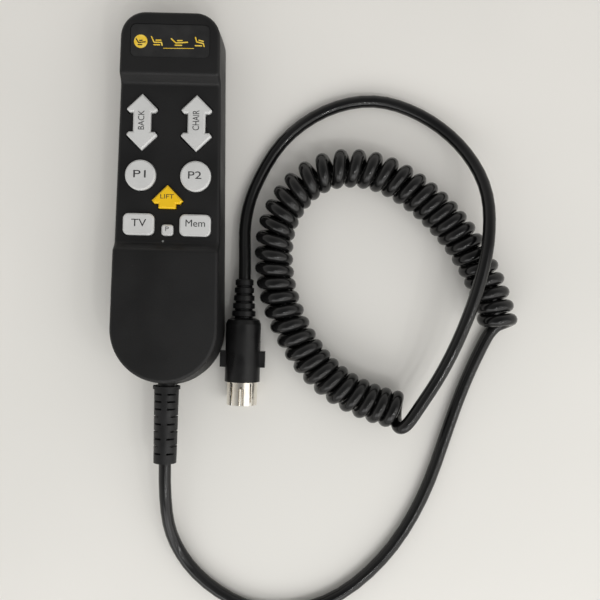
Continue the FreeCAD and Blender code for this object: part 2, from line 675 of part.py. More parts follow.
chips = [block("chip_%d" % i, "%g" % x0, "%g" % y0, "board_z - %g" % tall, "%g" % x1, "%g" % y1, "board_z")
         for i, (x0, y0, x1, y1, tall) in enumerate((
             (-6, 12, 6, 20, 1.7), (-13, 24, -10, 26, 0.8), (-13, 28, -10, 30, 0.8), (9, 24, 12, 26, 0.8),
             (9, 28, 12, 30, 0.8), (-3, 26, 3, 30, 1.4), (7, -6, 9, -3, 0.9), (-9, -6, -7, -3, 0.9)))]
part(group("board_components", chips))
header = block("wire_header", "-8", "-22", "board_z - 5.2", "8", "-17.2", "board_z")
header.Label = "wire_header"
part(header)
plug = block("wire_plug", "-7.4", "-27", "board_z - 4.6", "7.4", "-22", "board_z - 0.3")
plug.Label = "wire_plug"
part(plug)
light = cylinder("light_pipe", "light_radius", "keypad_z - 0.1 - (board_z + board_thickness + 1.3)",
                 "light_x", "light_y", "board_z + board_thickness + 1.3")
light.Label = "light_pipe"
part(light)
lamp = block("indicator_lamp", "light_x - 0.9", "light_y - 0.7", "board_z + board_thickness",
             "light_x + 0.9", "light_y + 0.7", "board_z + board_thickness + 1.2")
lamp.Label = "indicator_lamp"
part(lamp)


def badge_plate():
    body = new_body("badge_plate")
    plan = new_sketch(body, "badge_plan", offset="face_z - badge_depth")
    rounded_box(plan, "0", "badge_y", "badge_length / 2 - badge_gap", "badge_height / 2 - badge_gap",
                "badge_corner - badge_gap")
    pad(body, plan, "badge_plate_thickness")
    doc.recompute()
    return part(body)


badge_plate()

# ---------------------------------------------------------------- boot


def cord_boot():
    """Slotted rubber boot: a neck with a flat foot in the shell's slot, a collar and an inner flange."""
    wall_y = "base_end_y - base_end_radius"
    body = new_body("cord_boot")
    shape = new_sketch(body, "boot_profile", plane=XZ, offset="-(%s) + 0.1" % wall_y)
    circle(shape, "0", "cord_z", "collar_radius")
    pad(body, shape, "(%s) - 0.1 - collar_end_y" % wall_y)
    start = new_sketch(body, "boot_start", plane=XZ, offset="-(collar_end_y) - 0.1")
    circle(start, "0", "cord_z", "boot_radius")
    tip = new_sketch(body, "boot_tip", plane=XZ, offset="-(boot_end_y)")
    circle(tip, "0", "cord_z", "boot_end_radius")
    loft(body, "AdditiveLoft", start, tip)
    neck = new_sketch(body, "boot_neck", plane=XZ, offset="-(%s) + 0.2" % wall_y)
    circle(neck, "0", "cord_z", "neck_radius - neck_gap")
    pad(body, neck, "wall + 3", reverse=True)
    foot = new_sketch(body, "boot_neck_foot", plane=XZ, offset="-(%s) + 0.2" % wall_y)
    rectangle(foot, "-(neck_radius - neck_gap)", "parting_z + 0.1", "neck_radius - neck_gap", "cord_z")
    pad(body, foot, "wall + 3", reverse=True)
    flange = new_sketch(body, "boot_flange", plane=XZ, offset="-(%s) - 2 * wall" % wall_y)
    circle(flange, "0", "cord_z", "neck_radius + 1.2")
    pad(body, flange, "1.6", reverse=True)
    doc.recompute()
    bore = new_sketch(body, "boot_bore", plane=XZ, offset="-(boot_end_y) + 5")
    circle(bore, "0", "cord_z", "cord_radius")
    pocket(body, bore, "50")
    # slots: side cuts leave the front and back joined, top and under cuts leave a spine and the sides
    side_cuts = new_sketch(body, "side_cuts", plane=XY, offset="cord_z - 8")
    top_cuts = new_sketch(body, "top_cuts", plane=XY, offset="cord_z + cord_radius + 0.05")
    under_cuts = new_sketch(body, "under_cuts", plane=XY, offset="cord_z - cord_radius - 0.05")
    for i in range(9):
        y = "collar_end_y - 1.6 - %d * slot_pitch" % i
        if i in (0, 1, 2, 4, 6, 8):
            for low, high in (("-slot_reach", "-spine_half"), ("spine_half", "slot_reach")):
                rectangle(top_cuts, low, "%s - slot_width" % y, high, y)
                rectangle(under_cuts, low, "%s - slot_width" % y, high, y)
        else:
            for low, high in (("-7", "-cord_radius - 0.05"), ("cord_radius + 0.05", "7")):
                rectangle(side_cuts, low, "%s - slot_width" % y, high, y)
    pocket(body, side_cuts, "16", reverse=True)
    pocket(body, top_cuts, "7", reverse=True)
    pocket(body, under_cuts, "7")
    return part(body)


cord_boot()

tail = cylinder("cord_tail", "cord_radius", "-60 - boot_end_y", "0", "-60", "cord_z", Vector(0, -1, 0))
tail.Label = "cord_tail"
part(tail)

# ---------------------------------------------------------------- plug


def turned(label, profile, x="plug_x", z="plug_z"):
    """A round piece about the plug's axis: profile is a list of (radius, y) corners."""
    body = new_body(label)
    drawing = new_sketch(body, "profile_" + label, plane=XY, offset=z)
    polygon(drawing, [("%s + %s" % (x, r), y) for r, y in profile])
    axis = drawing.addGeometry(Part.LineSegment(Vector(number(x), 0, 0), Vector(number(x), -50, 0)), True)
    hold(drawing, "DistanceX", -1, 1, axis, 1, x)
    drawing.addConstraint(Sketcher.Constraint("Vertical", axis))
    revolve(body, drawing, "Axis0")
    doc.recompute()
    return body


def plug_relief():
    """Five rubber rings on a sleeve, growing towards the plug."""
    rings = []
    for i in range(5):
        y = "relief_top_y - 0.2 - %g" % (i * 3.4)
        root = "cord_radius + %g" % (0.7 + 0.15 * i)
        rim_radius = "%g" % (3.95 + 0.3 * i)
        rings += [(root, y), (rim_radius, "%s - 0.3" % y),
                  (rim_radius, "%s - 2.4" % y), (root, "%s - 2.7" % y)]
    sleeve_start = [("cord_radius", "relief_top_y"), ("cord_radius + 0.7", "relief_top_y")]
    sleeve_end = [("cord_radius + 1.3", "plug_body_y"), ("cord_radius", "plug_body_y")]
    return part(turned("plug_strain_relief", sleeve_start + rings + sleeve_end))


def plug_body():
    body = turned("plug_body", [
        ("cord_radius", "plug_body_y"), ("plug_radius - 2.4", "plug_body_y"),
        ("plug_radius - 0.7", "plug_body_y - 0.8"), ("plug_radius", "plug_body_y - 2.6"),
        ("plug_radius", "plug_mouth_y"), ("shell_neck", "plug_mouth_y"),
        ("shell_neck", "plug_mouth_y + 9"), ("cord_radius", "plug_mouth_y + 9")])
    for sign in ("-1", "1"):
        lug = new_sketch(body, "lug_%s" % ("left" if sign == "-1" else "right"), offset="plug_z - lug_half")
        rectangle(lug, "plug_x + %s * (shell_radius + 0.3)" % sign, "lug_low_y",
                  "plug_x + %s * lug_reach" % sign, "lug_high_y")
        pad(body, lug, "2 * lug_half")
    doc.recompute()
    return part(body)


def plug_shell():
    """Drawn metal shell with a narrower neck in the body, two seams and a keying channel with a hole."""
    along = Vector(0, -1, 0)
    neck_start, neck_end = "plug_mouth_y + 8.8", "plug_mouth_y - 0.15"
    outside = fuse("shell_outside", [
        cylinder("shell_wide", "shell_radius", "%s - plug_end_y" % neck_end,
                 "plug_x", neck_end, "plug_z", along),
        cylinder("shell_narrow", "shell_neck", "9.5", "plug_x", neck_start, "plug_z", along)])
    bore = cylinder("shell_inside", "shell_radius - shell_wall", "%s - plug_end_y + 2" % neck_start,
                    "plug_x", neck_start + " + 1", "plug_z", along)
    skin = cut("shell_tube", outside, bore)
    seams = [block("shell_seam_%d" % i, "plug_x + %s * 4 - 0.25" % sign, "plug_end_y - 1", "plug_z + 2",
                   "plug_x + %s * 4 + 0.25" % sign, "plug_mouth_y - 0.4", "plug_z + 8")
             for i, sign in enumerate(("-1", "1"))]
    channel_z = "plug_z + shell_radius - 0.1"
    clear = cylinder("channel_clear", "1.3", "8.2", "plug_x", "plug_end_y + 7.2", channel_z, along)
    hole = cylinder("channel_hole", "0.55", "4", "plug_x", "plug_end_y + 7.6", "plug_z + shell_radius - 2")
    skin = cut("shell_slit", skin, fuse("shell_cuts", seams + [clear, hole]))
    gutter = cylinder("channel_outside", "1.3", "7.2", "plug_x", "plug_end_y + 7.2", channel_z, along)
    hollow = cylinder("channel_inside", "0.95", "9", "plug_x", "plug_end_y + 8", channel_z, along)
    trough = cut("channel_trough", gutter, hollow)
    lid = block("channel_lid", "plug_x - 2", "plug_end_y - 1", channel_z,
                "plug_x + 2", "plug_end_y + 8", "plug_z + 9")
    made = fuse("plug_shell", [skin, cut("channel_open", trough, lid)])
    made.Label = "plug_shell"
    return part(made)


def plug_pins():
    """Five round pins on half a circle, opposite the keying channel, and their tails behind the insert."""
    pins = []
    for i in range(5):
        angle = math.radians(180 + 45 * i)
        x, z = "plug_x + pin_circle * %.4f" % math.cos(angle), "plug_z + pin_circle * %.4f" % math.sin(angle)
        pins.append(cylinder("pin_%d" % i, "pin_radius", "12.5", x, "plug_end_y + 13.4", z, Vector(0, -1, 0)))
    return part(group("plug_pins", pins))


plug_relief()
plug_body()
plug_shell()
plug_pins()
insert_disc = cylinder("insert_disc", "shell_radius - shell_wall - 0.05", "5",
                       "plug_x", "plug_end_y + 13", "plug_z", Vector(0, -1, 0))
insert_holes = []
for i in range(5):
    hole_angle = math.radians(180 + 45 * i)
    insert_holes.append(cylinder("insert_hole_%d" % i, "pin_radius + 0.02", "7",
                                 "plug_x + pin_circle * %.4f" % math.cos(hole_angle), "plug_end_y + 14",
                                 "plug_z + pin_circle * %.4f" % math.sin(hole_angle), Vector(0, -1, 0)))
insert = cut("plug_insert", insert_disc, fuse("insert_holes", insert_holes))
insert.Label = "plug_insert"
part(insert)
core = cylinder("plug_cable", "cord_radius", "relief_top_y - plug_mouth_y - 9",
                "plug_x", "relief_top_y", "plug_z", Vector(0, -1, 0))
core.Label = "plug_cable"
part(core)

# ---------------------------------------------------------------- cord and inner wires

# the curly part lies in a loose C; its ends face down the table and to the right
COIL_ROUTE = [
    (144, -50, 8.55), (140.8, -36.5, 8.55), (128.8, -14, 8.55), (111, 5, 8.55), (88.5, 18.2, 8.55),
    (63, 16.8, 8.55), (45.8, -2.8, 8.55), (44.2, -29, 8.55), (52.4, -53.2, 8.55), (67, -73.5, 8.55),
    (88, -85.5, 8.55), (102, -88, 8.55),
]
# from the boot's mouth, down to the table, round below the handset and up under the coil's right end
HANDSET_LEAD_ROUTE = [
    (0, -112.3, 12), (0, -129, 12), (3, -150, 4), (17, -168, 2.75), (42, -181, 2.75), (72, -176.5, 2.75),
    (97, -156, 2.75), (114, -128, 2.75), (125, -99, 2.75), (132, -76.5, 2.75), (137.3, -65, 2.75),
    (141.9, -56.2, 3.9), (140.6, -50.8, 3.9),
]
# from the coil's other end, over the coil in a long hump, and round above it to the plug's strain relief
PLUG_LEAD_ROUTE = [
    (99.6, -93.4, 8.55), (107.5, -85, 11), (116, -71.5, 16), (123.5, -53.5, 22.5), (130.5, -31.5, 26.5),
    (135, -8, 26), (134.5, 13, 16), (125, 31, 7), (109, 44, 3.2), (88, 50, 2.75), (66, 45, 2.75),
    (46.5, 30.5, 2.75), (34.5, 8, 2.9), (31.3, -8, 4.6), (32.3, -22, 7.7), (32.3, -32, 7.7),
]
ARC_SHARE = 0.45


def tube(label, route, radius):
    """Round cord along straight runs joined by tangent arcs, each arc as large as its runs allow."""
    points = [Vector(*p) for p in route]
    pieces, here, bends = [], points[0], []
    length = 0.0
    for before, corner, after in zip(points, points[1:], points[2:]):
        come, leave = (corner - before).normalize(), (after - corner).normalize()
        half_turn = come.getAngle(leave) / 2
        reach = ARC_SHARE * min(before.distanceToPoint(corner), corner.distanceToPoint(after))
        bend = reach / math.tan(half_turn)
        start, end = corner - come * reach, corner + leave * reach
        inward = (leave - come).normalize()
        middle = corner + inward * (bend / math.cos(half_turn) - bend)
        pieces += [Part.LineSegment(here, start).toShape(), Part.Arc(start, middle, end).toShape()]
        length += here.distanceToPoint(start) + 2 * half_turn * bend
        bends.append(bend)
        here = end
    pieces.append(Part.LineSegment(here, points[-1]).toShape())
    length += here.distanceToPoint(points[-1])
    size = number(radius)
    ring = Part.Wire(Part.Circle(points[0], points[1] - points[0], size).toShape())
    solid = Part.Wire(pieces).makePipeShell([ring], True, False)
    made = doc.addObject("Part::Feature", label)
    made.Label = label
    made.Shape = solid
    made.Placement = FreeCAD.Placement()
    ideal = math.pi * size ** 2 * length
    print("%s: length %.1f mm, tightest bend %.1f mm, radii %s, volume %.4f of section times length"
          % (label, length, min(bends), [round(b) for b in bends], solid.Volume / ideal))
    return part(made)


tube("cord_coil", COIL_ROUTE, "coil_radius")
tube("cord_lead_handset", HANDSET_LEAD_ROUTE, "cord_radius")
tube("cord_lead_plug", PLUG_LEAD_ROUTE, "cord_radius")

# each wire's colour, and where it lies in the cord, in degrees; they fan out to the plug from left to right
WIRES = (("red", 180), ("black", 252), ("green", 108), ("white", 36), ("yellow", 324))
for i, (colour, angle) in enumerate(WIRES):
    across, up = math.cos(math.radians(angle)), math.sin(math.radians(angle))
    slot = 2.6 * (i - 2)
    tube("wire_" + colour, [
        (1.5 * across, -60, 12 + 1.5 * up), (1.9 * across, -53, 12 + 1.8 * up),
        (0.8 * slot, -44, 9.5), (1.1 * slot, -35, 7.6), (slot, -27, 7.6)], "0.55")

# ---------------------------------------------------------------- write the sub-parts

doc.recompute()
for thing in doc.Objects:
    if {"Invalid", "Error"} & set(thing.State):
        raise SystemExit("%s (%s) failed: %s" % (thing.Name, thing.Label, thing.getStatusString()))
for thing in PARTS:
    if thing.Shape.isNull() or not thing.Shape.isValid() or not thing.Shape.Solids:
        raise SystemExit("%s has no valid solid" % thing.Label)

os.makedirs("parts", exist_ok=True)
for thing in PARTS:
    thing.Shape.exportStep(os.path.join("parts", thing.Label + ".step"))
    print("%-22s %d solid, %9.1f mm3" % (thing.Label, len(thing.Shape.Solids), thing.Shape.Volume))
print(len(PARTS), "sub-parts")
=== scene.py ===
import math
import bmesh
import bpy
from mathutils import Matrix, Vector


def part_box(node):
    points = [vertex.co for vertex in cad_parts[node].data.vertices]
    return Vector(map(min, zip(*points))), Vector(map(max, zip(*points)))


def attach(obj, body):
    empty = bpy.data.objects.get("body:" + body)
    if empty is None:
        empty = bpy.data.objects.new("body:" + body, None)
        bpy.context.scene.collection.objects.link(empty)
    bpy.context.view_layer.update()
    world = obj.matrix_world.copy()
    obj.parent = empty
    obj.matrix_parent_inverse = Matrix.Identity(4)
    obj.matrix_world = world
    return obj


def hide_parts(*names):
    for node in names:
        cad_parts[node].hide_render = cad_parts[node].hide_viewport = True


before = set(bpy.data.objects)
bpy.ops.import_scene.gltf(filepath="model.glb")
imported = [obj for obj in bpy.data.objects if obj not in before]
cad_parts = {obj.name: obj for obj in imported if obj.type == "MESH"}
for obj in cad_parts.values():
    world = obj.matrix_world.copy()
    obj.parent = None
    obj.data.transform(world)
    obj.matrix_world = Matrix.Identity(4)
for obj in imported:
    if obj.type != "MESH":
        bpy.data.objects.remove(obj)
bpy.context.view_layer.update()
scene = bpy.context.scene


# ------------------------------------------------------------------ circuit board and what is soldered to it
# The board is glass fibre and epoxy under green lacquer, screwed up against the bosses in the front shell.
# Chips, the five-pin header and the small lamp are soldered to it before it goes in.
def new_finish(name, colour, rough, **fixed):
    """A material with one shader. What is the same all over is set on the shader's own sockets."""
    finish = bpy.data.materials.new(name)
    finish.use_nodes = True
    shader = finish.node_tree.nodes["Principled BSDF"]
    shader.inputs["Base Color"].default_value = (*colour, 1)
    shader.inputs["Roughness"].default_value = rough
    for socket, amount in fixed.items():
        shader.inputs[socket.replace("_", " ")].default_value = amount
    return finish


def cloud(finish, size, detail=3.0, stretch=(1, 1, 1)):
    """Soft random patches of about this size in metres, fixed to the piece, from 0 to 1."""
    nodes, links = finish.node_tree.nodes, finish.node_tree.links
    place = nodes.new("ShaderNodeTexCoord")
    lay = nodes.new("ShaderNodeMapping")
    lay.inputs["Scale"].default_value = stretch
    noise = nodes.new("ShaderNodeTexNoise")
    noise.inputs["Scale"].default_value = 0.5 / size
    noise.inputs["Detail"].default_value = detail
    links.new(place.outputs["Object"], lay.inputs["Vector"])
    links.new(lay.outputs["Vector"], noise.inputs["Vector"])
    return noise.outputs["Fac"]


def cells(finish, size, feature="F1"):
    """Small rounded cells of about this size in metres, as the distance to their middles."""
    nodes, links = finish.node_tree.nodes, finish.node_tree.links
    place = nodes.new("ShaderNodeTexCoord")
    pebbles = nodes.new("ShaderNodeTexVoronoi")
    pebbles.feature = feature
    pebbles.inputs["Scale"].default_value = 1 / size
    links.new(place.outputs["Object"], pebbles.inputs["Vector"])
    return pebbles.outputs["Distance"]


def between(finish, pattern, low, high, at=(0.35, 0.65)):
    """The pattern turned into numbers from low to high."""
    spread = finish.node_tree.nodes.new("ShaderNodeMapRange")
    spread.interpolation_type = "SMOOTHSTEP"
    spread.inputs["From Min"].default_value, spread.inputs["From Max"].default_value = at
    spread.inputs["To Min"].default_value, spread.inputs["To Max"].default_value = low, high
    finish.node_tree.links.new(pattern, spread.inputs["Value"])
    return spread.outputs["Result"]


def shine(finish, pattern, low, high, at=(0.35, 0.65)):
    """Roughness that follows a pattern."""
    shader = finish.node_tree.nodes["Principled BSDF"]
    finish.node_tree.links.new(between(finish, pattern, low, high, at), shader.inputs["Roughness"])


def tint(finish, pattern, colour, at=(0.35, 0.65), most=1.0):
    """Mixes another colour into the base colour where the pattern is high."""
    nodes, links = finish.node_tree.nodes, finish.node_tree.links
    shader = nodes["Principled BSDF"]
    base = shader.inputs["Base Color"]
    mix = nodes.new("ShaderNodeMix")
    mix.data_type = "RGBA"
    amount, under, over = mix.inputs[0], mix.inputs[6], mix.inputs[7]
    if base.is_linked:
        links.new(base.links[0].from_socket, under)
    else:
        under.default_value = base.default_value[:]
    over.default_value = (*colour, 1)
    links.new(between(finish, pattern, 0, most, at), amount)
    links.new(mix.outputs[2], base)


def relief(finish, pattern, height, strength=1.0):
    """Adds one layer of surface relief, with its height in metres, on top of the layers already there."""
    nodes, links = finish.node_tree.nodes, finish.node_tree.links
    bump = nodes.new("ShaderNodeBump")
    bump.inputs["Distance"].default_value = height
    bump.inputs["Strength"].default_value = strength
    normal = nodes["Principled BSDF"].inputs["Normal"]
    if normal.is_linked:
        links.new(normal.links[0].from_socket, bump.inputs["Normal"])
    links.new(pattern, bump.inputs["Height"])
    links.new(bump.outputs["Normal"], normal)


def coat(finish, *names):
    """Gives CAD pieces this finish in every one of their material slots."""
    for name in names:
        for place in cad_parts[name].material_slots:
            place.material = finish


green_lacquer = new_finish("green_lacquer", (0.012, 0.085, 0.035), 0.3, Coat_Weight=0.4)
tint(green_lacquer, cells(green_lacquer, 0.0016, "DISTANCE_TO_EDGE"), (0.02, 0.14, 0.06), (0.0, 0.12))
relief(green_lacquer, cloud(green_lacquer, 0.0004), 0.00002)
shine(green_lacquer, cloud(green_lacquer, 0.006), 0.24, 0.4)
coat(green_lacquer, "circuit_board")

chip_epoxy = new_finish("chip_epoxy", (0.02, 0.02, 0.021), 0.6)
relief(chip_epoxy, cloud(chip_epoxy, 0.0001), 0.00001)
tint(chip_epoxy, cloud(chip_epoxy, 0.001), (0.05, 0.05, 0.052))
coat(chip_epoxy, "board_components")

nylon = new_finish("nylon", (0.62, 0.6, 0.54), 0.42, Subsurface_Weight=0.1)
tint(nylon, cloud(nylon, 0.002), (0.5, 0.48, 0.42), most=0.6)
relief(nylon, cloud(nylon, 0.0002), 0.00001)
coat(nylon, "wire_header", "wire_plug")

lamp_epoxy = new_finish("lamp_epoxy", (0.6, 0.62, 0.58), 0.15, Transmission_Weight=0.4)
tint(lamp_epoxy, cloud(lamp_epoxy, 0.0005), (0.7, 0.66, 0.4))
coat(lamp_epoxy, "indicator_lamp")


# ------------------------------------------------------------------ five wires from the cord to the board
# Thin stranded copper wires, each in coloured PVC, from the cord clamp to the board.
# They are crimped in the contacts of the white nylon plug, which pushes on the header.
WIRES = {
    "wire_red": (0.45, 0.015, 0.012),
    "wire_black": (0.012, 0.012, 0.012),
    "wire_green": (0.015, 0.2, 0.04),
    "wire_white": (0.65, 0.64, 0.6),
    "wire_yellow": (0.7, 0.5, 0.03),
}
for wire, colour in WIRES.items():
    sleeve = new_finish(wire + "_pvc", colour, 0.35)
    tint(sleeve, cloud(sleeve, 0.003), tuple(0.7 * part for part in colour))
    relief(sleeve, cloud(sleeve, 0.0003), 0.00001)
    coat(sleeve, wire)


# ------------------------------------------------------------------ dome mat
# One moulded sheet of translucent silicone, laid on the board, with a dome under every foot of the keys.
# A carbon pill in each dome closes its contact on the board when that foot goes down.
silicone = new_finish("silicone", (0.42, 0.44, 0.45), 0.5, Subsurface_Weight=0.2)
tint(silicone, cloud(silicone, 0.004), (0.5, 0.5, 0.48))
relief(silicone, cloud(silicone, 0.0002), 0.00001)
coat(silicone, "dome_mat")

carbon = new_finish("carbon", (0.015, 0.015, 0.016), 0.75)
relief(carbon, cloud(carbon, 0.00008), 0.00002)
tint(carbon, cells(carbon, 0.0002), (0.04, 0.04, 0.04))
coat(carbon, "pills_back", "pills_chair", "pill_preset_1", "pill_preset_2", "pill_lift", "pill_tv",
     "pill_memory", "pill_program")


# ------------------------------------------------------------------ keys
# Hard moulded caps with a satin top and softly rounded edges, pushed up from below through the front shell.
# Seven are light grey and the lift key is yellow.
def cap_plastic(name, colour, shade, speck):
    finish = new_finish(name, colour, 0.42, Subsurface_Weight=0.04)
    shader = finish.node_tree.nodes["Principled BSDF"]
    shader.inputs["Subsurface Radius"].default_value = (0.001, 0.001, 0.001)
    tint(finish, cloud(finish, 0.007, 4), shade, (0.3, 0.75))
    tint(finish, cells(finish, 0.0011), speck, (0.06, 0.02), 0.35)
    shine(finish, cloud(finish, 0.003, 5), 0.34, 0.5)
    relief(finish, cells(finish, 0.00022, "SMOOTH_F1"), 0.000012)
    relief(finish, cloud(finish, 0.0016, 2), 0.00005, 0.5)
    return finish


grey_cap = cap_plastic("grey_cap", (0.61, 0.615, 0.61), (0.54, 0.545, 0.54), (0.36, 0.36, 0.35))
yellow_cap = cap_plastic("yellow_cap", (0.84, 0.52, 0.003), (0.76, 0.46, 0.002), (0.50, 0.30, 0.004))
coat(grey_cap, "key_back", "key_chair", "key_preset_1", "key_preset_2", "key_tv", "key_memory", "key_program")
coat(yellow_cap, "key_lift")


# ------------------------------------------------------------------ legends on the keys
# Plain words pad-printed in dark grey ink on top of each cap once it is moulded.
# The ink is a few hundredths of a millimetre thick, and the long keys are read from the side.
pad_ink = new_finish("pad_ink", (0.018, 0.018, 0.02), 0.5)
tint(pad_ink, cloud(pad_ink, 0.0004, 5), (0.05, 0.05, 0.053), (0.5, 0.8))
relief(pad_ink, cloud(pad_ink, 0.00015), 0.00001)

LEGENDS = {  # word, middle of the word, its height and width, and its turn in degrees
    "key_back": ("BACK", (-0.01165, 0.0333), 0.0026, 0.0080, 90),
    "key_chair": ("CHAIR", (0.0113, 0.0337), 0.0028, 0.0084, 90),
    "key_preset_1": ("P1", (-0.0118, 0.0107), 0.0031, 0.0052, 0),
    "key_preset_2": ("P2", (0.0114, 0.0107), 0.0031, 0.0056, 0),
    "key_lift": ("LIFT", (0.0, 0.0015), 0.0018, 0.0057, 0),
    "key_tv": ("TV", (-0.01165, -0.0098), 0.0031, 0.0063, 0),
    "key_memory": ("Mem", (0.0121, -0.0095), 0.0029, 0.0082, 0),
    "key_program": ("P", (0.0003, -0.0121), 0.0019, 0.0014, 0),
}
INK = 0.00003


def printed(name, word, middle, height, width, turn, top):
    """The word as flat ink of an exact size. It stands a hair proud of the cap's top."""
    letters = bpy.data.curves.new(name, "FONT")
    letters.body = word
    letters.resolution_u = 6
    drawn = bpy.data.objects.new(name, letters)
    flat = bpy.data.meshes.new_from_object(drawn)
    bpy.data.objects.remove(drawn)
    xs, ys = [p.co.x for p in flat.vertices], [p.co.y for p in flat.vertices]
    centre = Vector(((min(xs) + max(xs)) / 2, (min(ys) + max(ys)) / 2, 0))
    wide, tall = width / (max(xs) - min(xs)), height / (max(ys) - min(ys))
    flat.transform(Matrix.Diagonal((wide, tall, 1, 1)) @ Matrix.Translation(-centre))
    flat.transform(Matrix.Translation((*middle, top)) @ Matrix.Rotation(math.radians(turn), 4, "Z"))
    piece = bpy.data.objects.new(name, flat)
    scene.collection.objects.link(piece)
    thick = piece.modifiers.new("ink", "SOLIDIFY")
    thick.thickness = 2 * INK
    thick.offset = 0
    flat.materials.append(pad_ink)
    return piece


for key, (word, middle, height, width, turn) in LEGENDS.items():
    word_piece = printed("legend_" + key[4:], word, middle, height, width, turn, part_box(key)[1].z)
    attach(word_piece, key + "_body")


# ------------------------------------------------------------------ rocker pins and small screws
# Each of the two long rocker keys turns on a ground steel pin pressed in the shell's ears.
# Plated steel screws hold the board, the clamp and the two shells.
screw_steel = new_finish("screw_steel", (0.52, 0.52, 0.50), 0.32, Metallic=1.0)
tint(screw_steel, cloud(screw_steel, 0.002, 4), (0.36, 0.35, 0.33), (0.45, 0.75))
shine(screw_steel, cloud(screw_steel, 0.0006, 4), 0.22, 0.45)
relief(screw_steel, cloud(screw_steel, 0.00012, 2, (1, 1, 12)), 0.000008)
coat(screw_steel, "rocker_pin_back", "rocker_pin_chair", "board_screws", "case_screws", "clamp_screws")


# ------------------------------------------------------------------ front and rear shells
# Two moulded ABS shells with a fine spark-eroded texture that meet on a line low on the side.
# Use has polished them a little in patches.
def shell_plastic(name, colour):
    finish = new_finish(name, colour, 0.5, Specular_IOR_Level=0.3)
    tint(finish, cloud(finish, 0.02, 5), tuple(1.5 * part for part in colour), (0.35, 0.7))
    tint(finish, cells(finish, 0.0045), (0.09, 0.088, 0.083), (0.035, 0.012), 0.4)
    shine(finish, cloud(finish, 0.012, 6), 0.42, 0.58)
    relief(finish, cells(finish, 0.00042, "SMOOTH_F1"), 0.00006, 0.8)
    relief(finish, cloud(finish, 0.00025, 2), 0.00003, 0.7)
    return finish


black_abs = shell_plastic("black_abs", (0.0054, 0.0054, 0.0056))
coat(black_abs, "front_shell", "rear_shell", "cable_clamp")


# ------------------------------------------------------------------ light pipe
# A small clear acrylic rod, pressed up into a hole in the front shell below the program key.
# It brings the light of the lamp on the board up to the face.
clear_acrylic = new_finish("clear_acrylic", (0.75, 0.76, 0.74), 0.12, Transmission_Weight=0.5, IOR=1.49)
tint(clear_acrylic, cloud(clear_acrylic, 0.0008), (0.6, 0.62, 0.6))
relief(clear_acrylic, cloud(clear_acrylic, 0.0003), 0.00001)
coat(clear_acrylic, "light_pipe")


# ------------------------------------------------------------------ badge
# A thin satin film plate glued in a shallow recess at the top of the front shell.
# It is printed in gold with a disc and a reclining chair in three positions.
badge_film = new_finish("badge_film", (0.0085, 0.0085, 0.009), 0.4)
tint(badge_film, cloud(badge_film, 0.006, 4), (0.014, 0.014, 0.014))
shine(badge_film, cloud(badge_film, 0.002, 5), 0.36, 0.48)
relief(badge_film, cloud(badge_film, 0.0002), 0.000006)
coat(badge_film, "badge_plate")

gold_ink = new_finish("gold_ink", (0.90, 0.58, 0.028), 0.34, Metallic=0.15)
tint(gold_ink, cloud(gold_ink, 0.0015, 4), (0.95, 0.70, 0.12))
shine(gold_ink, cloud(gold_ink, 0.0004, 4), 0.28, 0.42)
relief(gold_ink, cloud(gold_ink, 0.0001), 0.000006)

CHAIRS = {  # back, seat and leg rest of each position, in a box one unit wide and high
    "upright": [(0.06, 0.97), (0.22, 0.36), (0.68, 0.36), (0.72, 0.04)],
    "reclined": [(0.0, 0.80), (0.27, 0.34), (0.66, 0.38), (1.0, 0.44)],
    "lifted": [(0.20, 1.0), (0.28, 0.50), (0.68, 0.34), (0.74, 0.02)],
}
CHAIR_REST = {"upright": [(0.34, 0.60), (0.64, 0.60)], "reclined": [(0.38, 0.60), (0.66, 0.62)],
              "lifted": [(0.42, 0.70), (0.68, 0.58)]}
CHAIR_BASE = {"upright": [(0.22, 0.08), (0.56, 0.08)], "reclined": [(0.24, 0.08), (0.64, 0.08)],
              "lifted": [(0.20, 0.08), (0.58, 0.08)]}
ROUND_END = (-1.2, -0.8, -0.4, 0.0, 0.4, 0.8, 1.2)  # radians either side of straight out
SHARPEST = 0.3  # keeps the corner of a stroke from running out to a spike


def brush_stroke(points, width):
    """The outline of one stroke of even width with round ends, through these points."""
    points = [Vector((x, y)) for x, y in points]
    left, right = [], []
    for i, here in enumerate(points):
        come = (here - points[i - 1]).normalized() if i else (points[1] - here).normalized()
        leave = (points[i + 1] - here).normalized() if i + 1 < len(points) else come
        across = (come + leave).normalized()
        across = Vector((-across.y, across.x)) * (width / 2 / max(SHARPEST, across.dot(come)))
        left.append(here + across)
        right.append(here - across)
    ends = []
    for tip, inner in ((points[-1], points[-2]), (points[0], points[1])):
        out = math.atan2(tip.y - inner.y, tip.x - inner.x)
        ends.append([tip + Vector((math.cos(out + a), math.sin(out + a))) * width / 2
                     for a in ROUND_END])
    return right + ends[0] + left[::-1] + ends[1]


def inked(name, outlines, low, finish):
    """Flat shapes of ink on the badge, standing from low to a few hundredths of a millimetre above it."""
    shape = bmesh.new()
    for outline in outlines:
        face = shape.faces.new([shape.verts.new((x, y, low)) for x, y in outline])
        face.normal_update()
        if face.normal.z < 0:
            face.normal_flip()
        walls = bmesh.ops.extrude_face_region(shape, geom=[face])
        top = [v for v in walls["geom"] if isinstance(v, bmesh.types.BMVert)]
        bmesh.ops.translate(shape, verts=top, vec=(0, 0, INK))
    bmesh.ops.recalc_face_normals(shape, faces=shape.faces)
    mesh = bpy.data.meshes.new(name)
    shape.to_mesh(mesh)
    shape.free()
    mesh.materials.append(finish)
    piece = bpy.data.objects.new(name, mesh)
    scene.collection.objects.link(piece)
    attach(piece, "root")


